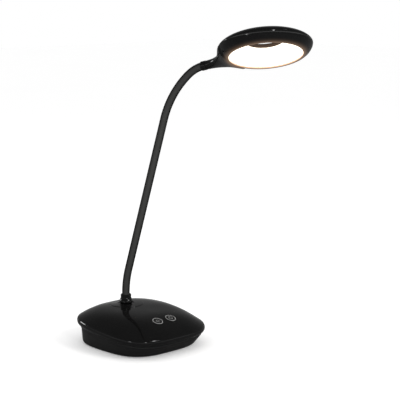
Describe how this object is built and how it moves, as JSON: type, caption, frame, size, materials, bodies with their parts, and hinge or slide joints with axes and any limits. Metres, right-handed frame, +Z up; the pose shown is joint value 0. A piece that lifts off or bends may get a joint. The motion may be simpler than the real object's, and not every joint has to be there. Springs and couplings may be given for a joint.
{
  "type": "gooseneck desk lamp",
  "caption": "Gooseneck desk lamp: pillow-shaped touch-key base, bendable sleeved arm and a ring-shaped lamp head with an opal light dish.",
  "frame": {"origin": "middle of the base's rest face on the desk", "axes": "+Z up; -Y the side the user sits on, where the touch keys are; +X to the user's right"},
  "size_m": [0.1854, 0.2677, 0.393],
  "materials": {
    "gloss_abs": "high gloss black",
    "satin_abs": "satin black",
    "soft_rubber": "matte dark grey",
    "zinc_steel": "zinc plated",
    "circuit_board": "green solder mask",
    "gold_plated_brass": "bright",
    "cell_wrap": "heat-shrink film",
    "dark_abs": "satin",
    "tinned_steel": "tin plated",
    "turned_aluminium": "turned",
    "silicone_sleeve": "satin dark grey",
    "lead_jacket": "soft white",
    "spring_steel": "drawn wire",
    "black_steel": "black oxide",
    "opal_acrylic": "opal",
    "strip_white": "white solder mask",
    "led_phosphor": "yellow phosphor"
  },
  "bodies": {
    "base": {"base_top_shell": "gloss_abs", "base_tray": "satin_abs", "foot_pad": "soft_rubber", "ballast_plate": "zinc_steel", "ballast_screws": "zinc_steel", "housing_screws": "zinc_steel", "control_board": "circuit_board", "control_board_screws": "zinc_steel", "touch_springs": "gold_plated_brass", "battery_cell": "cell_wrap", "battery_cradle": "dark_abs", "charge_board": "circuit_board", "charge_board_screws": "zinc_steel", "charging_inlet": "tinned_steel", "arm_collar": "gloss_abs", "lower_ferrule": "turned_aluminium", "lock_washer": "zinc_steel", "arm_nut": "zinc_steel", "arm_sleeve": "silicone_sleeve", "lamp_lead": "lead_jacket", "core_01": "spring_steel"},
    "arm_01": {"core_02": "spring_steel"},
    "arm_02": {"core_03": "spring_steel"},
    "arm_03": {"core_04": "spring_steel"},
    "arm_04": {"core_05": "spring_steel"},
    "arm_05": {"core_06": "spring_steel"},
    "arm_06": {"core_07": "spring_steel"},
    "arm_07": {"core_08": "spring_steel"},
    "arm_08": {"core_09": "spring_steel"},
    "arm_09": {"core_10": "spring_steel"},
    "arm_10": {"core_11": "spring_steel"},
    "arm_11": {"core_12": "spring_steel"},
    "head": {"core_13": "spring_steel", "head_collar": "gloss_abs", "upper_ferrule": "turned_aluminium", "ferrule_grub_screw": "black_steel", "head_housing": "gloss_abs", "head_cover": "gloss_abs", "diffuser": "opal_acrylic", "heat_ring": "turned_aluminium", "led_strip": "strip_white", "led_chips": "led_phosphor"}
  },
  "joints": [
    {"name": "arm_bend_01", "type": "hinge", "parent": "base", "child": "arm_01", "pos_m": [0.00004, 0.02788, 0.0636], "axis": [0.9397, 0.342, 0], "range_deg": [-20, 20], "deforming": ["arm_sleeve", "lamp_lead"]},
    {"name": "arm_bend_02", "type": "hinge", "parent": "arm_01", "child": "arm_02", "pos_m": [0.0014, 0.02416, 0.08909], "axis": [0.3304, -0.9077, -0.2588], "range_deg": [-20, 20]},
    {"name": "arm_bend_03", "type": "hinge", "parent": "arm_02", "child": "arm_03", "pos_m": [0.00369, 0.01787, 0.11406], "axis": [0.9397, 0.342, 0], "range_deg": [-20, 20]},
    {"name": "arm_bend_04", "type": "hinge", "parent": "arm_03", "child": "arm_04", "pos_m": [0.00597, 0.01158, 0.13903], "axis": [0.3304, -0.9077, -0.2588], "range_deg": [-20, 20]},
    {"name": "arm_bend_05", "type": "hinge", "parent": "arm_04", "child": "arm_05", "pos_m": [0.00826, 0.0053, 0.16399], "axis": [0.9397, 0.342, 0], "range_deg": [-20, 20]},
    {"name": "arm_bend_06", "type": "hinge", "parent": "arm_05", "child": "arm_06", "pos_m": [0.01055, -0.00099, 0.18896], "axis": [0.3304, -0.9077, -0.2588], "range_deg": [-20, 20]},
    {"name": "arm_bend_07", "type": "hinge", "parent": "arm_06", "child": "arm_07", "pos_m": [0.01284, -0.00727, 0.21392], "axis": [-0.9397, -0.342, 0], "range_deg": [-20, 20]},
    {"name": "arm_bend_08", "type": "hinge", "parent": "arm_07", "child": "arm_08", "pos_m": [0.01513, -0.01356, 0.23889], "axis": [-0.3304, 0.9077, 0.2588], "range_deg": [-20, 20]},
    {"name": "arm_bend_09", "type": "hinge", "parent": "arm_08", "child": "arm_09", "pos_m": [0.01741, -0.01985, 0.26386], "axis": [-0.9397, -0.342, 0], "range_deg": [-20, 20]},
    {"name": "arm_bend_10", "type": "hinge", "parent": "arm_09", "child": "arm_10", "pos_m": [0.01987, -0.02659, 0.28868], "axis": [-0.3206, 0.8809, 0.348], "range_deg": [-20, 20]},
    {"name": "arm_bend_11", "type": "hinge", "parent": "arm_10", "child": "arm_11", "pos_m": [0.02385, -0.03752, 0.3117], "axis": [-0.9397, -0.342, 0], "range_deg": [-20, 20]},
    {"name": "arm_bend_12", "type": "hinge", "parent": "arm_11", "child": "head", "pos_m": [0.02948, -0.05299, 0.33154], "axis": [-0.2371, 0.6513, 0.7208], "range_deg": [-20, 20]}
  ]
}
